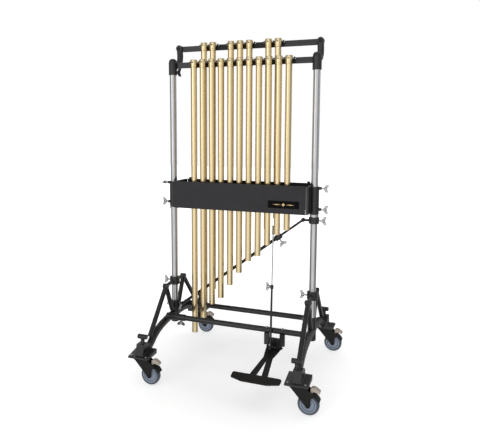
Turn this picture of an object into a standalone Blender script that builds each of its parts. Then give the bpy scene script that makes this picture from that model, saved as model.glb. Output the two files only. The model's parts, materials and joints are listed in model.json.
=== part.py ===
"""Orchestral chimes on a wheeled stand: frame, casters, tubes, damper box and pedal.

Metres, +Z up, the player stands on the -Y side. Every named mesh object is one real piece.
"""
import math

import bmesh
import bpy
from mathutils import Matrix, Vector

# ---------------------------------------------------------------- driving sizes
STAND_OFFSET = Vector((-0.0235, 0.0152, 0.0))  # centres the whole stand's box on the origin
GAP = 0.0003                                  # between pieces that touch
WELD = 0.000002                               # vertices closer than this are one

POST_X = 0.3873
POST_R = 0.0175
POST_BORE_R = 0.0155
POST_FIT_R = POST_R + GAP
POST_BOTTOM = 0.225
POST_TOP = 1.618

TUBE_R = 0.016
TUBE_BORE_R = 0.0145
CAP_R = 0.018
CAP_HEIGHT = 0.043
CAP_RISE = 0.0085                             # how far the cap stands over the tube's end
CORD_DROP = 0.015                             # cord holes below the cap's top
PITCH = 0.051
FIRST_X = -0.258
LONGEST = 1.467
SEMITONES_PER_HALVING = 22.0
FRONT_ROW = {"y": -0.016, "top": 1.630, "columns": range(11),
             "semitones": (0, 2, 4, 5, 7, 9, 11, 12, 14, 16, 17)}
REAR_ROW = {"y": 0.062, "top": 1.728, "columns": (0.5, 1.5, 3.5, 4.5, 5.5, 7.5, 8.5),
            "semitones": (1, 3, 6, 8, 10, 13, 15)}

RAIL_THICK = 0.008
RAIL_HEIGHT = 0.030
FRONT_RAIL = {"y": 0.009, "z": 1.607, "half": 0.3645}
REAR_RAIL = {"y": 0.087, "z": 1.7035, "half": 0.3690}
PEG_R = 0.004
PEG_RISE = 0.0105                             # pegs above the rail's middle

BOX_HALF = 0.356
BOX_FRONT = -0.0674
BOX_BACK = 0.1124
BOX_BOTTOM = 0.8516
BOX_TOP = 0.9928
SHEET = 0.003
LIP = 0.010

BAR_HALF = 0.300
BAR_BOTTOM = 0.895
BAR_TOP = 0.945
FELT_GAP = 0.0012
BAR_THICK = 0.013

CROSSBAR_Y = 0.112
CROSSBAR_Z = 0.265
CROSSBAR_R = 0.014

FOOT_X = 0.397
FOOT_Y = 0.354
TRAIL = 0.049
WHEEL_R = 0.050
WHEEL_HALF = 0.015
WHEEL_SIDES = 20                              # a flat facet of the tread meets the floor
AXLE_R = 0.005
FENDER_R = 0.0540                              # inside of the guard over the wheel
FENDER_THICK = 0.0028
BRAKE_HALF = 0.0112

APEX_Y = 0.108
APEX_Z = 0.427
APEX_R = 0.0135
STRUT_R = 0.0125
LEG_R = 0.018
LEG_TALL = 1.25                               # the legs are deeper than they are wide

PEDAL_PIVOT = Vector((0.220, -0.118, 0.180))
PEDAL_SLOPE = math.radians(7.0)
ROD_FOOT = Vector((0.214, -0.1606, 0.190))
ROD_HEAD = Vector((0.172, 0.022, 0.775))

BRACE_LOW = Vector((-0.359, 0.031, 0.287))
BRACE_HIGH = Vector((0.327, 0.031, 0.812))
BRACE_R = 0.0085
BRACE_ROD_R = 0.006
BRACE_PIN_R = 0.004

X_AXIS = Vector((1, 0, 0))
Y_AXIS = Vector((0, 1, 0))
Z_AXIS = Vector((0, 0, 1))


# ---------------------------------------------------------------- scene and finish helpers
def clear_scene():
    for old in list(bpy.data.objects):
        bpy.data.objects.remove(old, do_unlink=True)


def finish(name, shape, colour, roughness, metallic, origin=Vector((0, 0, 0))):
    """Turn a bmesh in world coordinates into one named object whose origin is on its axis."""
    shape.transform(Matrix.Translation(-origin))
    bmesh.ops.recalc_face_normals(shape, faces=shape.faces)
    mesh = bpy.data.meshes.new(name)
    shape.to_mesh(mesh)
    shape.free()
    mesh.polygons.foreach_set("use_smooth", [len(face.vertices) == 4 for face in mesh.polygons])
    mesh.update()
    material = bpy.data.materials.new(name)
    material.use_nodes = True
    shader = material.node_tree.nodes["Principled BSDF"]
    shader.inputs["Base Color"].default_value = (*colour, 1)
    shader.inputs["Roughness"].default_value = roughness
    shader.inputs["Metallic"].default_value = metallic
    mesh.materials.append(material)
    piece = bpy.data.objects.new(name, mesh)
    piece.location = origin + STAND_OFFSET
    bpy.context.scene.collection.objects.link(piece)
    return piece


def black(name, shape, origin=Vector((0, 0, 0))):
    return finish(name, shape, (0.02, 0.02, 0.022), 0.45, 0.0, origin)


def chrome(name, shape, origin=Vector((0, 0, 0))):
    return finish(name, shape, (0.75, 0.75, 0.76), 0.12, 1.0, origin)


def brass(name, shape, origin=Vector((0, 0, 0))):
    return finish(name, shape, (0.83, 0.62, 0.32), 0.25, 1.0, origin)


# ---------------------------------------------------------------- shapes, all in world coordinates
def frame_along(direction):
    """Rotation that takes +Z to a direction."""
    return Z_AXIS.rotation_difference(direction.normalized()).to_matrix().to_4x4()


def lathe(profile, sides, base=Vector((0, 0, 0)), direction=Z_AXIS, closed=True, turn=0.0):
    """Turn (radius, height) points about an axis. A closed profile's last point joins its first."""
    shape = bmesh.new()
    rings = []
    for radius, height in profile:
        if radius < 1e-7:
            rings.append([shape.verts.new((0, 0, height))])
            continue
        steps = (2 * math.pi * (i + turn) / sides for i in range(sides))
        rings.append([shape.verts.new((radius * math.cos(a), radius * math.sin(a), height)) for a in steps])
    pairs = list(zip(rings, rings[1:]))
    if closed:
        pairs.append((rings[-1], rings[0]))
    for low, high in pairs:
        for i in range(sides if len(low) + len(high) > 2 else 0):
            j = (i + 1) % sides
            corners = [low[i % len(low)], low[j % len(low)], high[j % len(high)], high[i % len(high)]]
            shape.faces.new(list(dict.fromkeys(corners)))
    shape.transform(Matrix.Translation(base) @ frame_along(direction))
    return shape


def cylinder(start, end, radius, sides=16):
    length = (end - start).length
    profile = ((0, 0), (radius, 0), (radius, length), (0, length))
    return lathe(profile, sides, start, end - start, closed=False)


def sleeve(start, end, radius, bore, sides=20):
    length = (end - start).length
    profile = ((bore, 0), (radius, 0), (radius, length), (bore, length))
    return lathe(profile, sides, start, end - start)


def box(low, high, bevel=0.0):
    shape = bmesh.new()
    bmesh.ops.create_cube(shape, size=1.0)
    size = Vector(high) - Vector(low)
    middle = (Vector(high) + Vector(low)) / 2
    shape.transform(Matrix.Translation(middle) @ Matrix.Diagonal((*size, 1)))
    if bevel:
        bmesh.ops.bevel(shape, geom=list(shape.edges), offset=bevel, segments=1, affect="EDGES")
    return shape


def plate(outline, low, high, axis="X"):
    """Extrude an outline along an axis. The outline's points are the other two axes, in order."""
    shape = bmesh.new()
    place = {"X": lambda t, a, b: (t, a, b), "Y": lambda t, a, b: (a, t, b), "Z": lambda t, a, b: (a, b, t)}[axis]
    bottom = [shape.verts.new(place(low, a, b)) for a, b in outline]
    top = [shape.verts.new(place(high, a, b)) for a, b in outline]
    shape.faces.new(bottom)
    shape.faces.new(top[::-1])
    for i, corner in enumerate(bottom):
        j = (i + 1) % len(bottom)
        shape.faces.new((corner, bottom[j], top[j], top[i]))
    return shape


def swept(points, radius, sides=12, tall=1.0):
    """A bar along a path in a plane of constant X, round or, with tall, deeper than it is wide."""
    shape = bmesh.new()
    rings = []
    for i, point in enumerate(points):
        before = points[max(i - 1, 0)]
        after = points[min(i + 1, len(points) - 1)]
        across = X_AXIS.cross((after - before).normalized())
        steps = (2 * math.pi * k / sides for k in range(sides))
        ring = [point + radius * (math.cos(a) * X_AXIS + tall * math.sin(a) * across) for a in steps]
        rings.append([shape.verts.new(corner) for corner in ring])
    for low, high in zip(rings, rings[1:]):
        for i in range(sides):
            j = (i + 1) % sides
            shape.faces.new((low[i], low[j], high[j], high[i]))
    shape.faces.new(rings[0])
    shape.faces.new(rings[-1][::-1])
    return shape


def helper_object(shape):
    mesh = bpy.data.meshes.new("helper")
    bmesh.ops.recalc_face_normals(shape, faces=shape.faces)
    shape.to_mesh(mesh)
    shape.free()
    helper = bpy.data.objects.new("helper", mesh)
    helper.hide_render = True
    helper.display_type = "WIRE"
    bpy.context.scene.collection.objects.link(helper)
    return helper


def combine(shape, tool, operation):
    """One exact Boolean step, with the slivers that it leaves welded away."""
    helpers = [helper_object(shape), helper_object(tool)]
    modifier = helpers[0].modifiers.new("step", "BOOLEAN")
    modifier.operation = operation
    modifier.solver = "EXACT"
    modifier.object = helpers[1]
    done = helpers[0].evaluated_get(bpy.context.evaluated_depsgraph_get())
    result = bmesh.new()
    result.from_mesh(done.to_mesh())
    for helper in helpers:
        bpy.data.objects.remove(helper, do_unlink=True)
    bmesh.ops.remove_doubles(result, verts=result.verts, dist=WELD)
    bmesh.ops.dissolve_degenerate(result, edges=result.edges, dist=WELD)
    return result


def fuse(pieces, cuts=()):
    """One closed solid from overlapping pieces, less the cuts."""
    shape = pieces[0]
    for piece in pieces[1:]:
        shape = combine(shape, piece, "UNION")
    for cut in cuts:
        shape = combine(shape, cut, "DIFFERENCE")
    return shape


# ---------------------------------------------------------------- chimes and their rails
def chime(name, column, semitone, row):
    """A hollow tube, open below, with a cap on its top. It swings on the cord through its cap."""
    top = row["top"]
    roof = top - CAP_RISE
    bottom = roof - LONGEST * 2 ** (-semitone / SEMITONES_PER_HALVING)
    skirt = top - CAP_HEIGHT
    place = Vector((FIRST_X + column * PITCH, row["y"], 0))
    profile = ((TUBE_BORE_R, bottom), (TUBE_R, bottom), (TUBE_R, skirt), (CAP_R, skirt),
               (CAP_R, top - 0.002), (CAP_R - 0.003, top), (0, top), (0, roof), (TUBE_BORE_R, roof))
    brass(name, lathe(profile, 16, place), place + Vector((0, 0, top - CORD_DROP)))


def build_chimes():
    for label, row in (("front", FRONT_ROW), ("rear", REAR_ROW)):
        for number, (column, semitone) in enumerate(zip(row["columns"], row["semitones"]), 1):
            chime(f"chime_tube_{label}_{number:02d}", column, semitone, row)


def rail(name, spot, columns):
    """A flat bar with a peg on each side of every tube for the cords."""
    low = (-spot["half"], spot["y"] - RAIL_THICK / 2, spot["z"] - RAIL_HEIGHT / 2)
    high = (spot["half"], spot["y"] + RAIL_THICK / 2, spot["z"] + RAIL_HEIGHT / 2)
    sides = sorted({column + step for column in columns for step in (-0.5, 0.5)})
    pegs = []
    for side in sides:
        root = Vector((FIRST_X + side * PITCH, spot["y"], spot["z"] + PEG_RISE))
        pegs.append(cylinder(root, root - Y_AXIS * 0.022, PEG_R, 8))
    black(name, fuse([box(low, high), *pegs]))


def build_rails():
    rail("front_rail", FRONT_RAIL, FRONT_ROW["columns"])
    rail("rear_rail", REAR_RAIL, REAR_ROW["columns"])


# ---------------------------------------------------------------- posts and their top brackets
def post(name, side):
    """Hollow post with a stop ring under the damper box."""
    place = X_AXIS * side * POST_X
    profile = ((POST_BORE_R, POST_BOTTOM), (POST_R, POST_BOTTOM), (POST_R, 0.836), (0.0225, 0.836),
               (0.0225, 0.850), (POST_R, 0.850), (POST_R, POST_TOP), (POST_BORE_R, POST_TOP))
    chrome(name, lathe(profile, 20, place))


def top_bracket(name, side):
    """Socket on the post, a lug for the front rail and an arm up and back to the rear rail."""
    x = side * POST_X
    dome = ((0, 1.557), (0.0225, 1.557), (0.0225, 1.622), (0.019, 1.635), (0.011, 1.6415), (0, 1.643))
    socket = lathe(dome, 20, X_AXIS * x, closed=False)
    bore = cylinder(Vector((x, 0, 1.550)), Vector((x, 0, POST_TOP + GAP)), POST_FIT_R, 20)
    inner = side * (FRONT_RAIL["half"] + GAP)
    lug = box((min(inner, x), -0.002, 1.589), (max(inner, x), 0.020, 1.625), 0.002)
    path = [Vector((x, y, z)) for y, z in ((0.008, 1.612), (0.045, 1.616), (0.070, 1.624), (0.087, 1.642),
                                           (0.091, 1.665), (0.087, 1.700))]
    boss = cylinder(Vector((x, 0.073, 1.7085)), Vector((x, 0.101, 1.7085)), 0.0175, 20)
    rear = side * (REAR_RAIL["half"] + GAP)
    shoe = box((min(rear, x), 0.078, 1.6885), (max(rear, x), 0.096, 1.7185), 0.002)
    black(name, fuse([socket, lug, swept(path, 0.017), boss, shoe], [bore]))


# ---------------------------------------------------------------- damper box
def panel(name, y, inward):
    """A sheet along the tubes with a lip at its top and bottom edge."""
    face = y + inward * SHEET
    lip = y + inward * LIP
    outline = ((y, BOX_BOTTOM), (lip, BOX_BOTTOM), (lip, BOX_BOTTOM + SHEET), (face, BOX_BOTTOM + SHEET),
               (face, BOX_TOP - SHEET), (lip, BOX_TOP - SHEET), (lip, BOX_TOP), (y, BOX_TOP))
    black(name, plate(outline, -BOX_HALF, BOX_HALF))


def box_end(name, side):
    """End cap of the damper box and the clamp that holds it on the post."""
    x = side * POST_X
    inner, outer = side * (BOX_HALF + GAP), side * 0.371
    cap = box((min(inner, outer), BOX_FRONT + 0.0015, 0.8526), (max(inner, outer), BOX_BACK - 0.0015, 0.9918), 0.002)
    body = cylinder(Vector((x, 0, 0.8503)), Vector((x, 0, 0.988)), 0.0235, 20)
    bore = cylinder(Vector((x, 0, 0.84)), Vector((x, 0, 1.0)), POST_FIT_R, 20)
    lugs = []
    for z in (0.874, 0.980):
        lugs.append(box((min(x, x + side * 0.036), -0.009, z - 0.007), (max(x, x + side * 0.036), 0.009, z + 0.007),
                        0.002))
    black(name, fuse([body, cap, *lugs], [bore]))


def build_damper():
    panel("damper_panel_front", BOX_FRONT, 1)
    panel("damper_panel_back", BOX_BACK, -1)
    box_end("damper_box_end_left", -1)
    box_end("damper_box_end_right", 1)
    front = FRONT_ROW["y"] + TUBE_R + FELT_GAP
    rear = REAR_ROW["y"] - TUBE_R - FELT_GAP
    black("damper_bar_front", box((-BAR_HALF, front, BAR_BOTTOM), (BAR_HALF, front + BAR_THICK, BAR_TOP), 0.002))
    black("damper_bar_rear", box((-BAR_HALF, rear - BAR_THICK, BAR_BOTTOM), (BAR_HALF, rear, BAR_TOP), 0.002))
    strap = box((0.184, 0.0205, 0.765), (0.197, 0.0235, 0.935))
    toe = box((0.1795, 0.0205, 0.765), (0.190, 0.0235, 0.779))
    black("damper_pull_link", fuse([strap, toe]))


# ---------------------------------------------------------------- pull rod and pedal
def build_pull_rod():
    eye = sleeve(ROD_FOOT - X_AXIS * 0.0035, ROD_FOOT + X_AXIS * 0.0035, 0.0115, 0.0068, 16)
    tube = ((0, 0.009), (0.0055, 0.009), (0.0055, 0.290), (0.009, 0.290), (0.009, 0.310), (0.0037, 0.310),
            (0.0037, 0.060), (0, 0.060))
    stem = lathe(tube, 12, ROD_FOOT, ROD_HEAD - ROD_FOOT, closed=False)
    black("pull_rod_lower", fuse([stem, eye]), ROD_FOOT)
    profile = ((0, 0.100), (0.0034, 0.100), (0.0034, 0.566), (0.0058, 0.566), (0.0058, 0.612), (0, 0.612))
    chrome("pull_rod_upper", lathe(profile, 12, ROD_FOOT, ROD_HEAD - ROD_FOOT, closed=False))


def build_pedal():
    """Modelled flat with the pivot at its own origin, then sloped down towards the player."""
    arms = plate(((-0.037, 0.010), (-0.034, -0.034), (-0.025, -0.101), (-0.047, -0.264), (-0.016, -0.264),
                  (-0.003, -0.122), (0.012, -0.264), (0.041, -0.264), (0.022, -0.101), (0.036, -0.034),
                  (0.041, 0.010), (0.030, 0.010), (0.026, -0.012), (-0.023, -0.012), (-0.027, 0.010)),
                 -0.0035, 0.0035, "Z")
    tread = ((-0.126, -0.265), (-0.120, -0.259), (0.100, -0.259), (0.108, -0.266), (0.106, -0.296), (0.050, -0.314),
             (-0.068, -0.314), (-0.124, -0.296))
    pad = plate(tread, -0.004, 0.006, "Z")
    hubs = [sleeve(X_AXIS * a, X_AXIS * b, 0.009, 0.0044, 16) for a, b in ((-0.037, -0.027), (0.030, 0.041))]
    ears = [plate(((-0.054, -0.0015), (-0.054, 0.016), (-0.047, 0.022), (-0.035, 0.022), (-0.030, 0.015),
                   (-0.030, -0.0015)), -0.018, -0.0125)]
    bore = cylinder(X_AXIS * -0.06, X_AXIS * 0.06, 0.0044, 16)
    lift = Matrix.Translation(PEDAL_PIVOT) @ Matrix.Rotation(PEDAL_SLOPE, 4, "X")
    shape = fuse([arms, pad, *hubs, *ears], [bore])
    shape.transform(lift)
    rod_pin = cylinder(ROD_FOOT - X_AXIS * 0.0095, ROD_FOOT + X_AXIS * 0.005, 0.003, 10)
    black("pedal", fuse([shape, rod_pin]), PEDAL_PIVOT)


def build_pedal_bracket():
    """Two straps under the front crossbar, a plate between them and the pin the pedal turns on."""
    y, z = PEDAL_PIVOT.y, PEDAL_PIVOT.z
    under = CROSSBAR_Z - CROSSBAR_R - GAP
    straps = [box((x, y - 0.004, 0.190), (x + 0.026, y + 0.010, under), 0.001) for x in (0.169, 0.249)]
    bridge = box((0.190, y + 0.001, 0.198), (0.254, y + 0.009, 0.228), 0.001)
    apron = box((0.196, y + 0.0055, 0.172), (0.247, y + 0.0135, 0.205), 0.001)
    lugs = [box((x, y - 0.007, z - 0.007), (x + 0.006, y + 0.007, 0.215)) for x in (0.201, 0.236)]
    pin = cylinder(Vector((0.181, y, z)), Vector((0.266, y, z)), 0.004, 12)
    black("pedal_bracket", fuse([*straps, bridge, apron, *lugs, pin]))


# ---------------------------------------------------------------- telescopic brace
def along_brace(distance):
    return BRACE_LOW + (BRACE_HIGH - BRACE_LOW).normalized() * distance


def build_brace():
    reach = (BRACE_HIGH - BRACE_LOW).length
    eye = cylinder(BRACE_LOW - Y_AXIS * 0.0075, BRACE_LOW + Y_AXIS * 0.0075, 0.012, 16)
    hole = cylinder(BRACE_LOW - Y_AXIS * 0.01, BRACE_LOW + Y_AXIS * 0.01, BRACE_PIN_R + GAP, 16)
    bore = BRACE_ROD_R + GAP
    tube = ((0, 0.008), (BRACE_R, 0.008), (BRACE_R, 0.682), (0.015, 0.682), (0.015, 0.718), (bore, 0.718),
            (bore, 0.480), (0, 0.480))
    stem = lathe(tube, 12, BRACE_LOW, BRACE_HIGH - BRACE_LOW, closed=False)
    black("brace_tube", fuse([stem, eye], [hole]), BRACE_LOW)
    ring = sleeve(BRACE_HIGH - Y_AXIS * 0.0028, BRACE_HIGH + Y_AXIS * 0.0028, 0.0105, 0.0055, 16)
    rod = cylinder(along_brace(0.560), along_brace(reach - 0.008), BRACE_ROD_R, 12)
    black("brace_rod", fuse([rod, ring]))
    x = POST_X
    collar = cylinder(Vector((x, 0, 0.802)), Vector((x, 0, 0.833)), 0.0260, 20)
    bore = cylinder(Vector((x, 0, 0.79)), Vector((x, 0, 0.84)), POST_FIT_R, 20)
    knuckle = BRACE_HIGH - Y_AXIS * 0.0106
    arm = cylinder(Vector((x - 0.022, 0.006, 0.816)), knuckle + X_AXIS * 0.004, 0.006, 10)
    disc = cylinder(knuckle - Y_AXIS * 0.004, knuckle + Y_AXIS * 0.004, 0.010, 16)
    pin = cylinder(knuckle, knuckle + Y_AXIS * 0.0140, 0.003, 10)
    black("brace_collar", fuse([collar, arm, disc, pin], [bore]))


# ---------------------------------------------------------------- base
def leg_arch(name, side):
    """Hub with the post's socket, a leg to each foot, the feet and the crossbar sockets."""
    x = side * POST_X
    hub = cylinder(Vector((x, 0, 0.196)), Vector((x, 0, 0.318)), 0.022, 20)
    bore = cylinder(Vector((x, 0, 0.214)), Vector((x, 0, 0.330)), POST_FIT_R, 20)
    pieces, cuts = [hub], [bore]
    stub_reach = 0.115 if side < 0 else 0.034
    for face in (-1, 1):
        line = ((0.012, 0.243), (0.060, 0.244), (0.109, 0.241), (0.164, 0.233), (0.211, 0.2205), (0.251, 0.202),
                (0.285, 0.179), (0.318, 0.164))
        pieces.append(swept([Vector((x, face * y, z)) for y, z in line], LEG_R, tall=LEG_TALL))
        wedge = ((0.302, 0.139), (0.400, 0.139), (0.400, 0.149), (0.302, 0.164))
        block = ((0.300, 0.145), (0.300, 0.186), (0.338, 0.206), (0.374, 0.206), (0.388, 0.145))
        middle = side * FOOT_X
        for outline, half in ((wedge, 0.055), (block, 0.021)):
            turned = [(face * y, z) for y, z in outline]
            pieces.append(plate(turned, middle - half, middle + half))
        knob = Vector((side * (FOOT_X - 0.006), face * (FOOT_Y + 0.003), 0))
        pieces.append(cylinder(knob + Z_AXIS * 0.200, knob + Z_AXIS * 0.240, 0.010, 12))
        pieces.append(cylinder(knob + Vector((-0.025, 0, 0.241)), knob + Vector((0.025, 0, 0.241)), 0.012, 12))
        inward = -side
        start = Vector((x + inward * 0.006, face * CROSSBAR_Y, CROSSBAR_Z))
        end = Vector((x + inward * stub_reach, face * CROSSBAR_Y, CROSSBAR_Z))
        pieces.append(cylinder(start, end, 0.0175, 16))
        cuts.append(cylinder(start + X_AXIS * inward * 0.015, end + X_AXIS * inward * 0.01, CROSSBAR_R + GAP, 16))
    if side < 0:
        foot = Vector((BRACE_LOW.x, 0.0165, BRACE_LOW.z))
        pieces.append(box((foot.x - 0.016, foot.y, foot.z - 0.010), (foot.x + 0.009, foot.y + 0.006, foot.z + 0.010)))
        pieces.append(cylinder(foot + Y_AXIS * 0.003, foot + Y_AXIS * 0.0235, BRACE_PIN_R, 12))
    black(name, fuse(pieces, cuts))


def strut_frame(name, side):
    """Clamp ring on the post, an arm to each apex, and a long and a short strut down from it."""
    x = side * POST_X
    pieces = [cylinder(Vector((x, 0, 0.410)), Vector((x, 0, 0.452)), 0.028, 20)]
    for face in (-1, 1):
        apex = Vector((x, face * APEX_Y, APEX_Z))
        pieces.append(cylinder(apex - X_AXIS * 0.015, apex + X_AXIS * 0.015, APEX_R, 16))
        pieces.append(cylinder(Vector((x, face * 0.024, 0.431)), apex, 0.010, 12))
        pieces.append(cylinder(apex, Vector((x, face * 0.292, 0.2167)), STRUT_R, 12))
        pieces.append(cylinder(apex, Vector((x, face * 0.0378, 0.2717)), STRUT_R, 12))
    bore = cylinder(Vector((x, 0, 0.40)), Vector((x, 0, 0.46)), POST_FIT_R, 20)
    black(name, fuse(pieces, [bore]))


def build_crossbars():
    half = POST_X - 0.022
    for name, y in (("crossbar_front", -CROSSBAR_Y), ("crossbar_rear", CROSSBAR_Y)):
        black(name, cylinder(Vector((-half, y, CROSSBAR_Z)), Vector((half, y, CROSSBAR_Z)), CROSSBAR_R, 16))


# ---------------------------------------------------------------- casters
def caster(x, y):
    """Fork on its swivel, wheel on the fork's axle and a foot brake over the wheel."""
    swivel = Vector((x, y, 0.125))
    axle = Vector((x + TRAIL, y, WHEEL_R))
    cheek = ((x - 0.034, 0.126), (x + 0.042, 0.126), (x + 0.079, 0.101), (x + 0.074, 0.094), (x + 0.060, 0.080),
             (x + 0.062, 0.052), (x + 0.056, 0.039), (x + 0.042, 0.038), (x + 0.034, 0.050))
    pieces = [cylinder(Vector((x, y, 0.118)), Vector((x, y, 0.139 - GAP)), 0.023, 16),
              box((x - 0.034, y - 0.0215, 0.121), (x + 0.042, y + 0.0215, 0.126))]
    for face in (-1, 1):
        low, high = sorted((y + face * 0.0183, y + face * 0.0215))
        pieces.append(plate(cheek, low, high, "Y"))
    arc = [math.radians(22 + 7.5 * k) for k in range(7)]
    guard = [(FENDER_R + FENDER_THICK, a) for a in arc] + [(FENDER_R, a) for a in reversed(arc)]
    rim = [(axle.x + r * math.cos(a), axle.z + r * math.sin(a)) for r, a in guard]
    pieces.append(plate(rim, y - 0.0195, y + 0.0195, "Y"))
    pieces.append(cylinder(axle - Y_AXIS * 0.0245, axle + Y_AXIS * 0.0245, AXLE_R, 12))
    label = f"{'front' if y < 0 else 'rear'}_{'left' if x < 0 else 'right'}"
    black(f"caster_fork_{label}", fuse(pieces), swivel)
    bore = AXLE_R + GAP
    tread = WHEEL_R / math.cos(math.pi / WHEEL_SIDES)
    profile = ((bore, -0.0165), (0.012, -0.0165), (0.014, -0.010), (0.033, -0.010), (0.037, -WHEEL_HALF),
               (0.046, -WHEEL_HALF), (tread, -0.009), (tread, 0.009), (0.046, WHEEL_HALF), (0.037, WHEEL_HALF),
               (0.033, 0.010), (0.014, 0.010), (0.012, 0.0165), (bore, 0.0165))
    wheel = lathe(profile, WHEEL_SIDES, axle, Y_AXIS, turn=0.5)
    finish(f"caster_wheel_{label}", wheel, (0.30, 0.34, 0.40), 0.5, 0.0, axle)
    lever = ((0.058, 0.106), (0.0585, 0.127), (0.066, 0.133), (0.080, 0.133), (0.102, 0.118), (0.100, 0.108),
             (0.074, 0.114), (0.062, 0.103))
    outline = [(x + a, b) for a, b in lever]
    pivot = Vector((x + 0.050, y, 0.116))
    finish(f"caster_brake_{label}", plate(outline, y - BRAKE_HALF, y + BRAKE_HALF, "Y"), (0.62, 0.56, 0.50), 0.5, 0.0, pivot)


def build_casters():
    for x in (-FOOT_X, FOOT_X):
        for y in (-FOOT_Y, FOOT_Y):
            caster(x, y)


# ---------------------------------------------------------------- wing screws
def wing_screw(name, root, direction, wing_axis):
    """A short shank and a flat two-winged head."""
    direction = direction.normalized()
    across = wing_axis.normalized()
    shank = cylinder(root, root + direction * 0.024, 0.003, 10)
    hub = cylinder(root + direction * 0.012, root + direction * 0.022, 0.0055, 12)
    thick = direction.cross(across) * 0.0018
    wings = []
    for end in (-1, 1):
        shape = bmesh.new()
        outline = ((0.003, 0.013), (0.014, 0.017), (0.019, 0.024), (0.016, 0.030), (0.010, 0.028), (0.003, 0.021))
        flat = [root + end * across * a + direction * b for a, b in outline]
        low = [shape.verts.new(corner - thick) for corner in flat]
        high = [shape.verts.new(corner + thick) for corner in flat]
        shape.faces.new(low)
        shape.faces.new(high[::-1])
        for i, corner in enumerate(low):
            j = (i + 1) % len(low)
            shape.faces.new((corner, low[j], high[j], high[i]))
        wings.append(shape)
    chrome(name, fuse([shank, hub, *wings]), root)


def build_wing_screws():
    wing_screw("post_clamp_screw_left", Vector((-POST_X - 0.0285, 0, 0.431)), -X_AXIS, Z_AXIS)
    wing_screw("post_clamp_screw_right", Vector((POST_X - 0.0285, 0, 0.431)), -X_AXIS, Z_AXIS)
    wing_screw("brace_collar_screw", Vector((POST_X + 0.0265, 0, 0.8175)), X_AXIS, Z_AXIS)
    line = (BRACE_HIGH - BRACE_LOW).normalized()
    down = Y_AXIS.cross(line)
    wing_screw("brace_clamp_screw", along_brace(0.700) + down * 0.0155, down, line)


def build():
    clear_scene()
    build_chimes()
    build_rails()
    for label, side in (("left", -1), ("right", 1)):
        post(f"post_{label}", side)
        top_bracket(f"top_bracket_{label}", side)
        leg_arch(f"leg_arch_{label}", side)
        strut_frame(f"strut_frame_{label}", side)
    build_damper()
    build_pull_rod()
    build_pedal()
    build_pedal_bracket()
    build_brace()
    build_crossbars()
    build_casters()
    build_wing_screws()


build()
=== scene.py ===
"""Looks of the orchestral chimes: materials, fine shapes, suspension cords, floor, light and camera."""
import json
import math

import bmesh
import bpy
from mathutils import Matrix, Vector


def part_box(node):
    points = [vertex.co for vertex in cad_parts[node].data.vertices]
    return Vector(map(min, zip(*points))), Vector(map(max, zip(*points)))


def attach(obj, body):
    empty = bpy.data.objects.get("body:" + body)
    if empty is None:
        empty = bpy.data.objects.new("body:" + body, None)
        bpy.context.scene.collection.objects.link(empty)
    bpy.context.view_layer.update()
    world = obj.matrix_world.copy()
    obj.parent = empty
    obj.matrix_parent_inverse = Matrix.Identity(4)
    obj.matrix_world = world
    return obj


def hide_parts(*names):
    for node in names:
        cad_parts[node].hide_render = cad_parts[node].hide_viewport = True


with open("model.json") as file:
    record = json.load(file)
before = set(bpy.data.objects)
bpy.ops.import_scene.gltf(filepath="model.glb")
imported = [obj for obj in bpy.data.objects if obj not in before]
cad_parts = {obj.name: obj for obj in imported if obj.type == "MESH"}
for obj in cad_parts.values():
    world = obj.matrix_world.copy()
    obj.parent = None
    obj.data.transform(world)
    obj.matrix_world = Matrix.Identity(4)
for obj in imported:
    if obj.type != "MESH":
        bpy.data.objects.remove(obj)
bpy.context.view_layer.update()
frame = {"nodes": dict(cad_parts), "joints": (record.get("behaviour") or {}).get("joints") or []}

X_AXIS = Vector((1, 0, 0))
Y_AXIS = Vector((0, 1, 0))
Z_AXIS = Vector((0, 0, 1))

SIDES = 48                    # round pieces
SMALL_SIDES = 20              # screws and pins
POST_R = 0.0175
POST_BORE_R = 0.0155
TUBE_R = 0.016
TUBE_WALL = 0.0015
CAP_HEIGHT = 0.043
CORD_R = 0.0017
RAIL_THICK = 0.008
PEG_R = 0.004
PEG_RISE = 0.0105             # pegs above the rail's middle
SHEET = 0.003                 # the damper box's panels
CROSSBAR_Y = 0.112            # before and behind the posts
APEX_Y, APEX_Z = 0.108, 0.427                 # where each pair of struts meets
FOOT_X = 0.397
PLATE_Y, PLATE_TOP = 0.386, 0.1505            # bolts on the caster plates
ROD_FOOT = (0.214, -0.1606, 0.190)            # the pull rod's eye on the pedal
ROD_COLLAR = 0.300            # from the eye up to the pull rod's collar
WHEEL_FACETS = 20             # sides of the plain wheel, which stands on a flat

LOW, HIGH = 0, 1              # corners of a box

WING_SCALE = 1.18             # the wing screws' real heads are a little larger than the plain ones

LIGHT_HEADING = 272.0         # degrees from +X to the bright side of the studio
WORLD_STRENGTH = 1.1
# brightness against the direction: 0 is straight away from the bright side, 1 towards it
SKY = ((0.0, 0.05), (0.20, 0.02), (0.32, 0.03), (0.48, 0.18), (0.64, 0.52), (0.73, 0.30),
       (0.82, 0.66), (0.95, 0.97), (1.0, 1.0))
# name, place, width, height, watts
LAMPS = (("key", (-1.6, -3.0, 2.0), 0.9, 2.4, 10), ("side", (3.0, 0.6, 1.8), 0.5, 2.4, 4),
         ("top", (0.2, -0.4, 4.0), 2.5, 2.5, 14))
FLOOR_GLOW_NEAR, FLOOR_GLOW_FAR = 0.52, 1.0

CAMERA_SPOT = (0.8505, -2.4839, 1.2634)
CAMERA_RIGHT = (0.9401, 0.3410, 0.0029)
CAMERA_FORWARD = (-0.3387, 0.9347, -0.1073)


# ---------------------------------------------------------------- places read from the frame
def middle(node):
    low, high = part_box(node)
    return (low + high) / 2


POST = {"left": middle("post_left"), "right": middle("post_right")}
STAND = Vector(((POST["left"].x + POST["right"].x) / 2, POST["left"].y, 0))
POST_X = (POST["right"].x - POST["left"].x) / 2
OUTWARD = {"left": -1, "right": 1}


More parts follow.
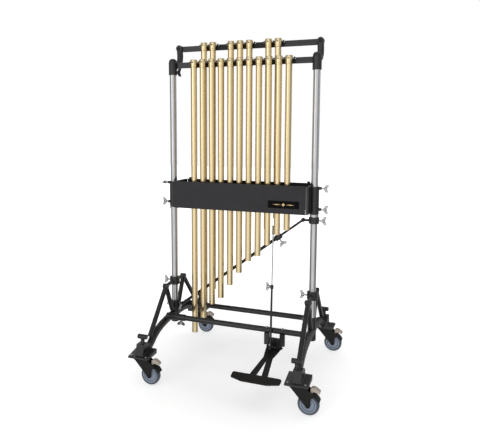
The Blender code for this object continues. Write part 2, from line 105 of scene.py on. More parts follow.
def at(x, y, z):
    """A place given from the point on the floor midway between the posts."""
    return STAND + Vector((x, y, z))


def joint_of(body):
    return next(joint for joint in frame["joints"] if joint["child"] == body)


def hinge_point(body):
    return Vector(joint_of(body)["pos_m"])


# ---------------------------------------------------------------- materials
def new_material(name, colour, roughness, metallic=0.0):
    material = bpy.data.materials.new(name)
    material.use_nodes = True
    tree = material.node_tree
    shader = tree.nodes["Principled BSDF"]
    shader.inputs["Base Color"].default_value = (*colour, 1)
    shader.inputs["Roughness"].default_value = roughness
    shader.inputs["Metallic"].default_value = metallic
    return material, tree, shader


def place(tree, scale=(1, 1, 1)):
    """Object coordinates, in metres, stretched by a scale."""
    coordinates = tree.nodes.new("ShaderNodeTexCoord")
    mapping = tree.nodes.new("ShaderNodeMapping")
    mapping.inputs["Scale"].default_value = scale
    tree.links.new(coordinates.outputs["Object"], mapping.inputs["Vector"])
    return mapping.outputs["Vector"]


def noise(tree, vector, scale, detail=4.0, roughness=0.55):
    node = tree.nodes.new("ShaderNodeTexNoise")
    node.inputs["Scale"].default_value = scale
    node.inputs["Detail"].default_value = detail
    node.inputs["Roughness"].default_value = roughness
    tree.links.new(vector, node.inputs["Vector"])
    return node.outputs["Fac"]


def spread(tree, value, low, high, start=0.35, end=0.65):
    """Map a noise value's middle band onto a range."""
    node = tree.nodes.new("ShaderNodeMapRange")
    node.inputs["From Min"].default_value = start
    node.inputs["From Max"].default_value = end
    node.inputs["To Min"].default_value = low
    node.inputs["To Max"].default_value = high
    tree.links.new(value, node.inputs["Value"])
    return node.outputs["Result"]


def blend_colours(tree, value, first, second, start=0.35, end=0.65):
    ramp = tree.nodes.new("ShaderNodeValToRGB")
    ramp.color_ramp.elements[0].position = start
    ramp.color_ramp.elements[0].color = (*first, 1)
    ramp.color_ramp.elements[1].position = end
    ramp.color_ramp.elements[1].color = (*second, 1)
    tree.links.new(value, ramp.inputs["Fac"])
    return ramp.outputs["Color"]


def add_bump(tree, shader, height, strength, distance):
    bump = tree.nodes.new("ShaderNodeBump")
    bump.inputs["Strength"].default_value = strength
    bump.inputs["Distance"].default_value = distance
    tree.links.new(height, bump.inputs["Height"])
    tree.links.new(bump.outputs["Normal"], shader.inputs["Normal"])


def brass_material():
    """Lacquered tube with fine lengthwise drawing marks and slow changes of tone."""
    material, tree, shader = new_material("lacquered_brass", (0.78, 0.62, 0.36), 0.25, 1.0)
    shader.inputs["Specular Tint"].default_value = (0.22, 0.17, 0.10, 1)
    shader.inputs["Coat Weight"].default_value = 0.06
    shader.inputs["Coat Roughness"].default_value = 0.2
    marks = noise(tree, place(tree, (1, 1, 0.005)), 600, 2)
    tone = noise(tree, place(tree, (1, 1, 0.25)), 6, 3)
    colour = blend_colours(tree, tone, (0.80, 0.645, 0.375), (0.86, 0.705, 0.425))
    tree.links.new(colour, shader.inputs["Base Color"])
    tree.links.new(spread(tree, marks, 0.19, 0.215), shader.inputs["Roughness"])
    add_bump(tree, shader, marks, 0.004, 0.0001)
    return material


def chrome_material(name="bright_chrome", roughness=0.06, dark=(0.50, 0.50, 0.51), light=(0.57, 0.57, 0.58)):
    material, tree, shader = new_material(name, light, roughness, 1.0)
    haze = noise(tree, place(tree, (1, 1, 0.3)), 40, 4)
    tree.links.new(spread(tree, haze, roughness, roughness + 0.06), shader.inputs["Roughness"])
    tree.links.new(blend_colours(tree, haze, dark, light), shader.inputs["Base Color"])
    return material


def black_material(name, dark, light, roughness, grain=700, bump=0.12, gloss=0.4):
    """Powder coat: orange peel, slight changes of tone and gloss."""
    material, tree, shader = new_material(name, light, roughness)
    peel = noise(tree, place(tree), grain, 2)
    tone = noise(tree, place(tree), 22, 5)
    tree.links.new(blend_colours(tree, tone, dark, light), shader.inputs["Base Color"])
    tree.links.new(spread(tree, tone, roughness - 0.05, roughness + 0.08), shader.inputs["Roughness"])
    shader.inputs["Specular IOR Level"].default_value = gloss
    add_bump(tree, shader, peel, bump, 0.0003)
    return material


def moulded_material(name, dark, light, roughness, speckle=160):
    material, tree, shader = new_material(name, light, roughness)
    fine = noise(tree, place(tree), speckle, 4)
    tree.links.new(blend_colours(tree, fine, dark, light), shader.inputs["Base Color"])
    tree.links.new(spread(tree, fine, roughness - 0.06, roughness + 0.1), shader.inputs["Roughness"])
    add_bump(tree, shader, fine, 0.1, 0.0002)
    return material


def felt_material():
    material, tree, shader = new_material("grey_felt", (0.05, 0.05, 0.05), 0.95)
    shader.inputs["Sheen Weight"].default_value = 0.4
    fibres = noise(tree, place(tree, (1, 1, 2.5)), 1400, 6, 0.7)
    colour = blend_colours(tree, fibres, (0.03, 0.03, 0.03), (0.09, 0.09, 0.095))
    tree.links.new(colour, shader.inputs["Base Color"])
    add_bump(tree, shader, fibres, 0.6, 0.0008)
    return material


def cord_material():
    """Twisted cord: slanting strands."""
    material, tree, shader = new_material("twisted_cord", (0.72, 0.70, 0.66), 0.8)
    wave = tree.nodes.new("ShaderNodeTexWave")
    wave.bands_direction = "DIAGONAL"
    wave.inputs["Scale"].default_value = 420
    wave.inputs["Distortion"].default_value = 1.5
    tree.links.new(place(tree), wave.inputs["Vector"])
    colour = blend_colours(tree, wave.outputs["Fac"], (0.42, 0.40, 0.36), (0.88, 0.85, 0.79), 0.2, 0.8)
    tree.links.new(colour, shader.inputs["Base Color"])
    add_bump(tree, shader, wave.outputs["Fac"], 0.5, 0.0004)
    return material


BRASS = brass_material()
CHROME = chrome_material()
FITTING = chrome_material("fitting_chrome", 0.2, (0.42, 0.42, 0.43), (0.52, 0.52, 0.53))
# Dull grey metal for the box end's front edge, made lighter than the black as a painted highlight on the
# rounded edge.
GREY_EDGE_AND_HIGHLIGHT = chrome_material("dull_edge", 0.35, (0.13, 0.13, 0.135), (0.17, 0.17, 0.175))
GOLD_TRIM = chrome_material("gold_trim", 0.25, (0.62, 0.45, 0.20), (0.72, 0.53, 0.26))
FRAME_BLACK = black_material("frame_black", (0.009, 0.009, 0.0095), (0.014, 0.0135, 0.014), 0.30, gloss=0.5)
FORK_BLACK = black_material("fork_black", (0.006, 0.0055, 0.005), (0.011, 0.010, 0.0095), 0.45, gloss=0.22)
PLATE_BLACK = black_material("plate_black", (0.0012, 0.001, 0.001), (0.003, 0.0028, 0.0028), 0.6, gloss=0.08)
RAIL_BLACK = black_material("rail_black", (0.018, 0.018, 0.020), (0.026, 0.026, 0.029), 0.38)
PANEL_BLACK = black_material("panel_black", (0.019, 0.018, 0.020), (0.025, 0.024, 0.027), 0.50,
                             1100, 0.08, 0.25)
RUBBER_BLACK = moulded_material("black_rubber", (0.004, 0.004, 0.004), (0.009, 0.009, 0.009), 0.7)
TYRE = moulded_material("blue_grey_tyre", (0.055, 0.066, 0.090), (0.080, 0.095, 0.125), 0.55)
HUB = moulded_material("pale_blue_hub", (0.22, 0.27, 0.35), (0.28, 0.33, 0.41), 0.42)
BEIGE = moulded_material("beige_lever", (0.36, 0.31, 0.26), (0.48, 0.42, 0.36), 0.5)
FELT = felt_material()
CORD = cord_material()


# ---------------------------------------------------------------- shapes, in the frame's coordinates
def frame_along(direction):
    return Z_AXIS.rotation_difference(direction.normalized()).to_matrix().to_4x4()


def lathe(profile, base, direction=Z_AXIS, sides=SIDES, closed=False):
    """Turn (radius, height) points about an axis."""
    shape = bmesh.new()
    rings = []
    for radius, height in profile:
        if radius < 1e-7:
            rings.append([shape.verts.new((0, 0, height))])
            continue
        steps = (2 * math.pi * i / sides for i in range(sides))
        rings.append([shape.verts.new((radius * math.cos(a), radius * math.sin(a), height)) for a in steps])
    pairs = list(zip(rings, rings[1:]))
    if closed:
        pairs.append((rings[-1], rings[0]))
    for low, high in pairs:
        for i in range(sides if len(low) + len(high) > 2 else 0):
            j = (i + 1) % sides
            corners = [low[i % len(low)], low[j % len(low)], high[j % len(high)], high[i % len(high)]]
            shape.faces.new(list(dict.fromkeys(corners)))
    shape.transform(Matrix.Translation(base) @ frame_along(direction))
    return shape


def rod(start, end, radius, edge=0.0006, sides=SIDES):
    """A round bar with eased ends."""
    length = (end - start).length
    profile = ((0, 0), (radius - edge, 0), (radius, edge), (radius, length - edge), (radius - edge, length),
               (0, length))
    return lathe(profile, start, end - start, sides)


def ring(centre, direction, radius, bore, half, edge=0.0008, sides=SIDES):
    """A round sleeve with eased edges, centred on a point."""
    profile = ((bore, -half + edge), (bore + edge, -half), (radius - edge, -half), (radius, -half + edge),
               (radius, half - edge), (radius - edge, half), (bore + edge, half), (bore, half - edge))
    return lathe(profile, centre, direction, sides, closed=True)


def block(low, high):
    shape = bmesh.new()
    bmesh.ops.create_cube(shape, size=1.0)
    size = Vector(high) - Vector(low)
    centre = (Vector(high) + Vector(low)) / 2
    shape.transform(Matrix.Translation(centre) @ Matrix.Diagonal((*(abs(v) for v in size), 1)))
    return shape


def slab(outline, low, high, axis):
    """Extrude an outline along an axis."""
    shape = bmesh.new()
    put = {"X": lambda t, a, b: (t, a, b),
           "Y": lambda t, a, b: (a, t, b),
           "Z": lambda t, a, b: (a, b, t)}[axis]
    bottom = [shape.verts.new(put(low, a, b)) for a, b in outline]
    top = [shape.verts.new(put(high, a, b)) for a, b in outline]
    shape.faces.new(bottom)
    shape.faces.new(top[::-1])
    for i, corner in enumerate(bottom):
        j = (i + 1) % len(bottom)
        shape.faces.new((corner, bottom[j], top[j], top[i]))
    return shape


def rounded(outline, radius, steps=4):
    """Round an outline's corners with arcs."""
    points = []
    for i, corner in enumerate(outline):
        corner = Vector(corner)
        before = Vector(outline[i - 1]) - corner
        after = Vector(outline[(i + 1) % len(outline)]) - corner
        reach = min(radius, before.length * 0.45, after.length * 0.45)
        start = corner + before.normalized() * reach
        end = corner + after.normalized() * reach
        for k in range(steps + 1):
            t = k / steps
            points.append(tuple((1 - t) ** 2 * start + 2 * t * (1 - t) * corner + t * t * end))
    return points


def join(*shapes):
    """Put several shapes into one mesh."""
    whole = bmesh.new()
    for shape in shapes:
        mesh = bpy.data.meshes.new("part")
        shape.to_mesh(mesh)
        shape.free()
        whole.from_mesh(mesh)
        bpy.data.meshes.remove(mesh)
    return whole


# ---------------------------------------------------------------- pieces
def settle(piece, material, body, nodes):
    piece.data.materials.clear()
    piece.data.materials.append(material)
    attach(piece, body)
    if nodes:
        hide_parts(*nodes)
    return piece


def make(name, shape, material, body, nodes=(), bevel=0.0, crease=35):
    """One visible piece. A bevel eases the edges sharper than the crease angle."""
    mesh = bpy.data.meshes.new(name)
    bmesh.ops.recalc_face_normals(shape, faces=shape.faces)
    shape.to_mesh(mesh)
    shape.free()
    mesh.polygons.foreach_set("use_smooth", [True] * len(mesh.polygons))
    piece = bpy.data.objects.new(name, mesh)
    bpy.context.scene.collection.objects.link(piece)
    if bevel:
        ease = piece.modifiers.new("ease", "BEVEL")
        ease.width = bevel
        ease.segments = 2
        ease.limit_method = "ANGLE"
        ease.angle_limit = math.radians(crease)
        ease.harden_normals = True
    else:
        mesh.set_sharp_from_angle(angle=math.radians(crease))
    return settle(piece, material, body, nodes)


def cast(node, name, material, body, grain=0.0016, rounds=8, keep=0.35):
    """A cast piece: the CAD solid with its joins and edges melted together."""
    piece = bpy.data.objects.new(name, frame["nodes"][node].data.copy())
    bpy.context.scene.collection.objects.link(piece)
    remesh = piece.modifiers.new("cast", "REMESH")
    remesh.mode = "VOXEL"
    remesh.voxel_size = grain
    smooth = piece.modifiers.new("melt", "SMOOTH")
    smooth.factor = 0.5
    smooth.iterations = rounds
    thin = piece.modifiers.new("thin", "DECIMATE")
    thin.ratio = keep
    graph = bpy.context.evaluated_depsgraph_get()
    mesh = bpy.data.meshes.new_from_object(piece.evaluated_get(graph))
    piece.modifiers.clear()
    piece.data = mesh
    piece.data.name = name
    mesh.polygons.foreach_set("use_smooth", [True] * len(mesh.polygons))
    return settle(piece, material, body, (node,))


# ---------------------------------------------------------------- chimes and rails
def build_chimes():
    for node in sorted(n for n in frame["nodes"] if n.startswith("chime_tube")):
        low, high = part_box(node)
        centre = Vector(((low.x + high.x) / 2, (low.y + high.y) / 2, 0))
        label = node.replace("chime_tube_", "")
        cap_r = (high.x - low.x) / 2
        skirt = high.z - CAP_HEIGHT
        ease = 0.0004
        bore = TUBE_R - TUBE_WALL
        wall = ((bore, low.z + ease), (bore + ease, low.z), (TUBE_R - ease, low.z), (TUBE_R, low.z + ease),
                (TUBE_R, skirt + 0.004), (bore, skirt + 0.004))
        make(f"tube_{label}", lathe(wall, centre, closed=True), BRASS, node, (node,))
        top = high.z
        cap = ((0, top - 0.0010), (0.0060, top - 0.0010), (0.0078, top), (cap_r - 0.0034, top),
               (cap_r - 0.0012, top - 0.0010), (cap_r, top - 0.0034), (cap_r, skirt + 0.0085),
               (cap_r - 0.0009, skirt + 0.0078), (cap_r - 0.0009, skirt + 0.0062), (cap_r, skirt + 0.0055),
               (cap_r, skirt + 0.0010), (cap_r - 0.0008, skirt), (TUBE_R + 0.0001, skirt),
               (TUBE_R + 0.0001, top - 0.004), (0, top - 0.004))
        make(f"cap_{label}", lathe(cap, centre), BRASS, node)
        hole = hinge_point(node)
        eyes = []
        for outward in (X_AXIS, -X_AXIS, -Y_AXIS):
            eyes.append(ring(hole + outward * cap_r, outward, 0.0033, 0.0018, 0.0009, 0.0003, SMALL_SIDES))
        grub = ((0, -0.0004), (0.0009, -0.0004), (0.0009, 0.0006), (0.0017, 0.0006), (0.0017, -0.0004))
        eyes.append(lathe(grub, hole - Y_AXIS * cap_r, -Y_AXIS, SMALL_SIDES))
        make(f"cap_eyes_{label}", join(*eyes), RUBBER_BLACK, node)


def peg_places(rail_node):
    """Peg roots worked out from the tubes that the rail carries."""
    row = "front" if rail_node == "front_rail" else "rear"
    tubes = sorted(n for n in frame["nodes"] if n.startswith(f"chime_tube_{row}"))
    centres = [middle(n).x for n in tubes]
    pitch = min(b - a for a, b in zip(centres, centres[1:]))
    spots = []
    for x in centres:
        for side in (-0.5, 0.5):
            spot = x + side * pitch
            if all(abs(spot - other) > 0.001 for other in spots):
                spots.append(spot)
    return sorted(spots), centres, pitch, tubes


def build_rails():
    for node in ("front_rail", "rear_rail"):
        low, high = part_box(node)
        face = high.y - RAIL_THICK
        bar = block((low.x, face, low.z), high)
        make(node + "_bar", bar, RAIL_BLACK, "upper_frame", (node,), bevel=0.0012)
        spots, centres, pitch, tubes = peg_places(node)
        reach = 0.55 * pitch
        strip = block((centres[0] - reach, face - 0.0022, low.z + 0.001),
                      (centres[-1] + reach, face, high.z - 0.001))
        make(node + "_strip", strip, RUBBER_BLACK, "upper_frame", bevel=0.0008)
        peg_z = (low.z + high.z) / 2 + PEG_RISE
        pegs = []
        tip = face - low.y
        profile = ((PEG_R + 0.0022, -0.001), (PEG_R + 0.0022, 0.0035), (PEG_R, 0.0045), (PEG_R, tip - 0.0036),
                   (PEG_R + 0.0010, tip - 0.0028), (PEG_R + 0.0010, tip - 0.0006), (PEG_R, tip), (0, tip))
        for x in spots:
            pegs.append(lathe(profile, Vector((x, face, peg_z)), -Y_AXIS, SMALL_SIDES))
        make(node + "_pegs", join(*pegs), FRAME_BLACK, "upper_frame")
        for tube, x in zip(tubes, centres):
            build_cord(tube, x, pitch / 2, face, peg_z)


def build_cord(tube, x, half_pitch, face, peg_z):
    """One loop of cord: over the left peg, through the cap, over the right peg."""
    hole = hinge_point(tube)
    cap_r = (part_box(tube)[HIGH].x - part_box(tube)[LOW].x) / 2
    wrap = PEG_R + CORD_R
    points = []
    for side, depth in ((-1, 0.0075), (1, 0.0125)):
        peg = Vector((x + side * half_pitch, face - depth, peg_z))
        half = [peg + Vector((wrap * math.sin(math.radians(a)) * side, 0, wrap * math.cos(math.radians(a))))
                for a in (150, 100, 50, 0, -50, -85)]
        half.append(Vector((x + side * (cap_r + 0.0016), hole.y, hole.z + 0.0006)))
        half.append(Vector((x + side * (cap_r - 0.004), hole.y, hole.z)))
        points += half if side < 0 else half[::-1]
    curve = bpy.data.curves.new("cord", "CURVE")
    curve.dimensions = "3D"
    curve.bevel_depth = CORD_R
    curve.bevel_resolution = 2
    curve.use_fill_caps = True
    spline = curve.splines.new("BEZIER")
    spline.bezier_points.add(len(points) - 1)
    for spot, point in zip(spline.bezier_points, points):
        spot.co = point
        spot.handle_left_type = spot.handle_right_type = "AUTO"
    spline.resolution_u = 4
    piece = bpy.data.objects.new(tube.replace("chime_tube", "cord"), curve)
    bpy.context.scene.collection.objects.link(piece)
    settle(piece, CORD, "upper_frame", ())


# ---------------------------------------------------------------- screws
def wing_screw(name, root, direction, wing_axis, body, nodes=(), reach=0.012, material=FITTING):
    """Shank, hub and two cast wings. The root is where the shank leaves its lug."""
    direction = direction.normalized()
    across = wing_axis.normalized()
    thick = direction.cross(across)
    turn = Matrix((across, thick, direction)).transposed().to_4x4()
    shank = lathe(((0, -0.002), (0.0036, -0.002), (0.0036, reach), (0, reach)), Vector(), sides=SMALL_SIDES)
    hub = lathe(((0, reach - 0.001), (0.0070, reach - 0.001), (0.0074, reach + 0.002),
                 (0.0068, reach + 0.010), (0.0050, reach + 0.0120), (0, reach + 0.0124)),
                Vector(), sides=SMALL_SIDES)
    wings = []
    for end in (-1, 1):
        outline = [(end * a, reach + b) for a, b in ((0.002, 0.000), (0.0125, 0.0025), (0.0185, 0.008),
                                                     (0.0185, 0.0170), (0.0115, 0.0172), (0.002, 0.0125))]
        wings.append(slab(rounded(outline, 0.004), -0.0026, 0.0026, "Y"))
    shape = join(shank, hub, *wings)
    shape.transform(Matrix.Translation(root) @ turn @ Matrix.Scale(WING_SCALE, 4))
    make(name, shape, material, body, nodes, bevel=0.0006, crease=50)


def bolt(name, spot, direction, radius, body, material=FITTING):
    """A low hexagon head on a washer."""
    tall = radius * 0.4
    washer = ((0, -0.001), (radius * 1.3, -0.001), (radius * 1.3, tall * 0.4), (0, tall * 0.4))
    head = ((0, tall * 0.3), (radius * 0.95, tall * 0.3), (radius, tall * 0.5), (radius, tall * 1.3),
            (radius * 0.86, tall * 1.6), (0, tall * 1.6))
    shape = join(lathe(washer, spot, direction, SMALL_SIDES), lathe(head, spot, direction, 6))
    make(name, shape, material, body)


def build_screws():
    for side, out in OUTWARD.items():
        node = f"damper_box_end_{side}"
        low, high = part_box(node)
        edge = high.x if out > 0 else low.x
        tilts = {"upper": Y_AXIS if out < 0 else Z_AXIS + Y_AXIS * 0.8, "lower": Z_AXIS}
        for level, z in (("upper", high.z - 0.0118), ("lower", low.z + 0.0237)):
            spot = Vector((edge, POST[side].y, z))
            wing_screw(f"box_wing_{side}_{level}", spot, X_AXIS * out, tilts[level], "upper_frame",
                       reach=0.010)
        boss = middle(f"top_bracket_{side}")
        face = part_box("rear_rail")[HIGH].y - 0.018
        spot = Vector((boss.x, face, 1.7085))
        bolt(f"bracket_bolt_{side}", spot, -Y_AXIS, 0.0072, "upper_frame", RUBBER_BLACK)
        for end, face in (("front", -1), ("rear", 1)):
            apex = at(out * (POST_X - 0.015), face * APEX_Y, APEX_Z)
            bolt(f"strut_bolt_{end}_{side}", apex, -X_AXIS * out, 0.0062, "base")
            for number, across in ((1, -0.040), (2, 0.040)):
                spot = at(out * FOOT_X + across, face * PLATE_Y, PLATE_TOP)
                bolt(f"caster_bolt_{end}_{side}_{number}", spot, Z_AXIS, 0.0056, "base")
        spot = at(out * POST_X - 0.021, 0, 0.305 if out < 0 else 0.285)
        wing_screw(f"hub_wing_{side}", spot, -X_AXIS, Z_AXIS, "base", reach=0.009)
    for name in ("post_clamp_screw_left", "post_clamp_screw_right",
                 "brace_collar_screw", "brace_clamp_screw"):
        direction = Vector(joint_of(name)["axis"])
        across = Z_AXIS if abs(direction.x) > 0.9 else Y_AXIS.cross(direction)
        root = hinge_point(name) + direction * 0.001
        wing_screw(name + "_wings", root, direction, across, name, (name,))
    wing_screw("crossbar_wing", at(-0.297, -CROSSBAR_Y, 0.2485), -Z_AXIS, X_AXIS, "base", reach=0.006)
    wing_screw("socket_wing", at(-POST_X + 0.0215, 0, 1.570), X_AXIS, Z_AXIS, "upper_frame", reach=0.005,
               material=RUBBER_BLACK)
    wing_screw("brace_foot_wing", at(-0.356, 0.0175, 0.287), -Y_AXIS, Z_AXIS, "base", reach=0.007)
    for number, x in enumerate((0.182, 0.262), 1):
        bolt(f"hanger_bolt_{number}", at(x, -CROSSBAR_Y, 0.2785), Z_AXIS, 0.0055, "base")


# ---------------------------------------------------------------- posts, brackets, damper box
def build_posts():
    for side in OUTWARD:
        node = f"post_{side}"
        low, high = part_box(node)
        foot = Vector((POST[side].x, POST[side].y, 0))
        wall = ((POST_BORE_R, low.z), (POST_R, low.z), (POST_R, high.z), (POST_BORE_R, high.z))
        make(node + "_tube", lathe(wall, foot, closed=True), CHROME, "upper_frame", (node,))
        stop = ring(foot + Z_AXIS * 0.843, Z_AXIS, 0.0225, POST_R - 0.0002, 0.0070, 0.0012)
        make(node + "_stop", stop, CHROME, "upper_frame")
        cast(f"top_bracket_{side}", f"bracket_{side}", FRAME_BLACK, "upper_frame", 0.0012, 5)


def build_box():
    for label, inward in (("front", 1), ("back", -1)):
        node = f"damper_panel_{label}"
        low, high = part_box(node)
        face = low.y if inward > 0 else high.y
        lip = high.y if inward > 0 else low.y
        fold = face + inward * SHEET
        outline = ((face, low.z), (lip, low.z), (lip, low.z + SHEET), (fold, low.z + SHEET),
                   (fold, high.z - SHEET), (lip, high.z - SHEET), (lip, high.z), (face, high.z))
        sheet = slab(outline, low.x, high.x, "X")
        make(node + "_sheet", sheet, PANEL_BLACK, "upper_frame", (node,), bevel=0.0011)
    for side in OUTWARD:
        cast(f"damper_box_end_{side}", f"box_end_{side}", FRAME_BLACK, "upper_frame",
             0.0013, 4)
    for node in ("damper_bar_front", "damper_bar_rear"):
        low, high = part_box(node)
        half = (high.y - low.y) * 0.45
        felt_first = node.endswith("front")
        felt = (low.y, low.y + half) if felt_first else (high.y - half, high.y)
        wood = (low.y + half, high.y) if felt_first else (low.y, high.y - half)
        pad = block((low.x, felt[0], low.z + 0.002), (high.x, felt[1], high.z - 0.002))
        make(node + "_felt", pad, FELT, node, (node,), bevel=0.0015)
        backing = block((low.x, wood[0], low.z), (high.x, wood[1], high.z))
        make(node + "_wood", backing, PANEL_BLACK, node, bevel=0.001)
    build_plate()
    # A thin grey strip at the box's right front corner: the end's dull metal edge, painted lighter as the
    # highlight on its rounded edge.
    low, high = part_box("damper_panel_front")
    strip = block((high.x + 0.0010, low.y + 0.0002, low.z + 0.003),
                  (high.x + 0.0055, low.y + 0.0018, high.z - 0.003))
    make("end_strip", strip, GREY_EDGE_AND_HIGHLIGHT, "upper_frame", bevel=0.0004)
    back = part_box("damper_panel_back")[HIGH]
    knob = ((0.0075, -0.002), (0.0075, 0.003), (0.0090, 0.004), (0.0090, 0.007), (0.0070, 0.0085),
            (0, 0.0087))
    for side, out in OUTWARD.items():
        spot = Vector((STAND.x + out * (back.x - STAND.x - 0.020), back.y - 0.006, back.z))
        shape = lathe(knob, spot, sides=SMALL_SIDES)
        make(f"corner_knob_{side}", shape, RUBBER_BLACK, "upper_frame")


def build_plate():
    """A plain badge plate with a generic gilt ornament: a lozenge between two tapered bars."""
    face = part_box("damper_panel_front")[LOW].y
    spot = Vector((STAND.x + 0.246, face, 0.898))
    half_x, half_z, proud = 0.079, 0.0185, 0.0012
    plate = block((spot.x - half_x, spot.y - proud, spot.z - half_z),
                  (spot.x + half_x, spot.y, spot.z + half_z))
    make("plain_plate", plate, PLATE_BLACK, "upper_frame", bevel=0.0005)
    marks = []
    for end in (-1, 0, 1):
        length, height = (0.0085, 0.0085) if end == 0 else (0.022, 0.0022)
        centre = spot.x + end * 0.034
        outline = ((centre - length, spot.z), (centre, spot.z - height), (centre + length, spot.z),
                   (centre, spot.z + height))
        marks.append(slab(outline, spot.y - proud - 0.0005, spot.y - proud + 0.0002, "Y"))
    make("plate_ornament", join(*marks), GOLD_TRIM, "upper_frame")


# ---------------------------------------------------------------- base
def build_base():
    for side in OUTWARD:
        cast(f"leg_arch_{side}", f"leg_casting_{side}", FRAME_BLACK, "base", 0.0017, 8)
        cast(f"strut_frame_{side}", f"strut_casting_{side}", FRAME_BLACK, "base", 0.0016, 6)
    for node in ("crossbar_front", "crossbar_rear"):
        low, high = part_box(node)
        radius = (high.z - low.z) / 2
        centre = middle(node)
        bar = rod(Vector((low.x, centre.y, centre.z)), Vector((high.x, centre.y, centre.z)), radius)
        make(node + "_tube", bar, FRAME_BLACK, "base", (node,))
    cast("pedal_bracket", "pedal_hanger", FRAME_BLACK, "base", 0.0011, 3)


def build_pedal():
    cast("pedal", "pedal_casting", FORK_BLACK, "pedal", 0.0011, 3)


def build_rods():
    for node, material, slot in (("pull_rod_lower", FRAME_BLACK, "black_frame"),
                                 ("pull_rod_upper", FITTING, "chrome_fitting"),
                                 ("brace_tube", FRAME_BLACK, "black_frame"),
                                 ("brace_rod", FRAME_BLACK, "black_frame")):
        cast(node, node + "_turned", material, node, 0.0009, 3)
    line = Vector(joint_of("pull_rod_lower")["axis"])
    collar = at(*ROD_FOOT) + line * ROD_COLLAR
    wing_screw("rod_collar_wing", collar - X_AXIS * 0.0085, -X_AXIS, line, "pull_rod_lower", reach=0.004)
    cast("damper_pull_link", "pull_link_strap", FRAME_BLACK, "pull_link", 0.0009, 2)
    cast("brace_collar", "brace_collar_cast", FRAME_BLACK, "upper_frame", 0.0009, 4)


# ---------------------------------------------------------------- casters
def build_caster(label):
    fork, wheel, brake = (f"caster_{part}_{label}" for part in ("fork", "wheel", "brake"))
    low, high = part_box(wheel)
    axle = middle(wheel)
    radius = (high.x - low.x) / 2 * math.cos(math.pi / WHEEL_FACETS)
    half = (high.y - low.y) / 2
    tyre = ((0.0375, -half + 0.0025), (0.0385, -half + 0.0016), (0.0450, -half + 0.0022), (0.0478, -0.0105),
            (radius - 0.0005, -0.0075), (radius, -0.0045), (radius, 0.0045), (radius - 0.0005, 0.0075),
            (0.0478, 0.0105), (0.0450, half - 0.0022), (0.0385, half - 0.0016), (0.0375, half - 0.0025))
    make(f"tyre_{label}", lathe(tyre, axle, Y_AXIS, 64, closed=True), TYRE, wheel, (wheel,))
    hub = ((0.0053, -half), (0.0120, -half), (0.0128, -half + 0.002), (0.0135, -0.0112), (0.0215, -0.0104),
           (0.0222, -0.0126), (0.0240, -0.0126), (0.0247, -0.0104), (0.0325, -0.0108), (0.0335, -0.0137),
           (0.0374, -0.0137))
    mirrored = tuple((r, -y) for r, y in reversed(hub))
    make(f"hub_{label}", lathe(hub + mirrored, axle, Y_AXIS, 64, closed=True), HUB, wheel)
    # Painted shade: a thin dark ring on each hub face, drawn where the hub's moulded ring grooves fall into
    # shade.
    for face in (-1, 1):
        line = ring(axle + Y_AXIS * face * 0.0100, Y_AXIS, 0.0310, 0.0282, 0.0012, 0.0003)
        make(f"hub_groove_shade_{label}_{'near' if face < 0 else 'far'}", line, TYRE, wheel)
    cast(fork, f"fork_{label}_pressed", FORK_BLACK, fork, 0.0011, 3)
    cast(brake, f"brake_{label}_lever", BEIGE, brake, 0.0009, 4)


def build_casters():
    for front in ("front", "rear"):
        for side in OUTWARD:
            build_caster(f"{front}_{side}")


# ---------------------------------------------------------------- stage
def stage_mesh(name, shape, material):
    mesh = bpy.data.meshes.new(name)
    shape.to_mesh(mesh)
    shape.free()
    mesh.materials.append(material)
    piece = bpy.data.objects.new(name, mesh)
    bpy.context.scene.collection.objects.link(piece)
    return piece


def glow_material(name, colour, strength):
    material, _, shader = new_material(name, (0, 0, 0), 1.0)
    shader.inputs["Specular IOR Level"].default_value = 0.0
    shader.inputs["Emission Color"].default_value = (*colour, 1)
    shader.inputs["Emission Strength"].default_value = strength
    return material


def build_floor():
    """A pale floor that brightens away from the stand until it meets a white backdrop."""
    reach, rise = 14.0, 2.2
    shape = bmesh.new()
    bmesh.ops.create_grid(shape, x_segments=1, y_segments=1, size=reach)
    material, tree, shader = new_material("pale_floor", (0.72, 0.72, 0.725), 0.7)
    shader.inputs["Specular IOR Level"].default_value = 0.15
    gradient = tree.nodes.new("ShaderNodeTexGradient")
    gradient.gradient_type = "SPHERICAL"
    tree.links.new(place(tree, (1 / rise, 1 / rise, 1)), gradient.inputs["Vector"])
    glow = spread(tree, gradient.outputs["Fac"], FLOOR_GLOW_FAR, FLOOR_GLOW_NEAR, 0.35, 0.85)
    shader.inputs["Emission Color"].default_value = (1, 1, 1, 1)
    tree.links.new(glow, shader.inputs["Emission Strength"])
    floor = stage_mesh("floor", shape, material)
    floor.visible_glossy = False


def build_backdrop():
    """A white dome that only the camera sees, so that the reflected studio can be darker."""
    shape = bmesh.new()
    bmesh.ops.create_uvsphere(shape, u_segments=32, v_segments=16, radius=20.0)
    dome = stage_mesh("backdrop", shape, glow_material("backdrop_white", (1, 1, 1), 1.0))
    dome.visible_diffuse = False
    dome.visible_glossy = False
    dome.visible_transmission = False
    dome.visible_shadow = False


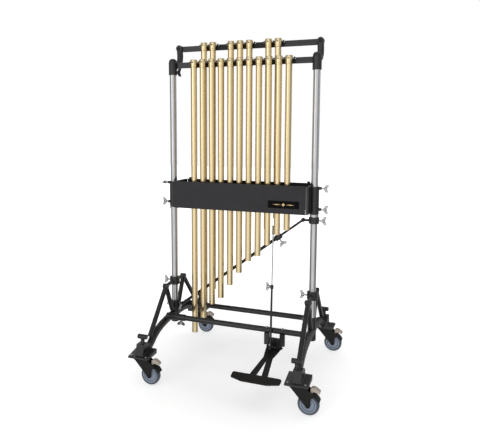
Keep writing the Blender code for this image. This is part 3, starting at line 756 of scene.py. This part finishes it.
def build_light():
    """Soft studio light: a bright side before the stand with a dark band in it, and dark behind."""
    world = bpy.data.worlds.new("studio")
    world.use_nodes = True
    tree = world.node_tree
    background = tree.nodes["Background"]
    background.inputs["Strength"].default_value = WORLD_STRENGTH
    coordinates = tree.nodes.new("ShaderNodeTexCoord")
    turn = tree.nodes.new("ShaderNodeMapping")
    turn.inputs["Rotation"].default_value = (0, 0, math.radians(-LIGHT_HEADING))
    split = tree.nodes.new("ShaderNodeSeparateXYZ")
    ramp = tree.nodes.new("ShaderNodeValToRGB")
    stops = ramp.color_ramp.elements
    ends = {0.0: stops[0], 1.0: stops[1]}
    for position, level in SKY:
        stop = ends[position] if position in ends else stops.new(position)
        stop.color = (level, level, level, 1)
    tree.links.new(coordinates.outputs["Generated"], turn.inputs["Vector"])
    tree.links.new(turn.outputs["Vector"], split.inputs["Vector"])
    halved = tree.nodes.new("ShaderNodeMapRange")
    halved.inputs["From Min"].default_value = -1.0
    tree.links.new(split.outputs["X"], halved.inputs["Value"])
    tree.links.new(halved.outputs["Result"], ramp.inputs["Fac"])
    tree.links.new(ramp.outputs["Color"], background.inputs["Color"])
    bpy.context.scene.world = world
    for name, spot, width, height, power in LAMPS:
        data = bpy.data.lights.new(name, "AREA")
        data.shape = "RECTANGLE"
        data.size = width
        data.size_y = height
        data.energy = power
        lamp = bpy.data.objects.new(name, data)
        lamp.location = spot
        lamp.rotation_euler = (Vector((0, 0, 0.9)) - Vector(spot)).to_track_quat("-Z", "Y").to_euler()
        bpy.context.scene.collection.objects.link(lamp)


def build_camera():
    data = bpy.data.cameras.new("camera")
    data.sensor_width = 36.0
    data.lens = 37.895
    data.shift_x = 0.0169
    data.shift_y = -0.0729
    camera = bpy.data.objects.new("camera", data)
    right = Vector(CAMERA_RIGHT).normalized()
    forward = Vector(CAMERA_FORWARD).normalized()
    up = right.cross(forward)
    turn = Matrix((right, up, -forward)).transposed().to_4x4()
    camera.matrix_world = Matrix.Translation(at(*CAMERA_SPOT)) @ turn
    bpy.context.scene.collection.objects.link(camera)
    bpy.context.scene.camera = camera


build_camera()
build_chimes()
build_rails()
build_posts()
build_box()
build_screws()
build_base()
build_pedal()
build_rods()
build_casters()
build_floor()
build_backdrop()
build_light()
bpy.context.scene.view_settings.view_transform = "Standard"
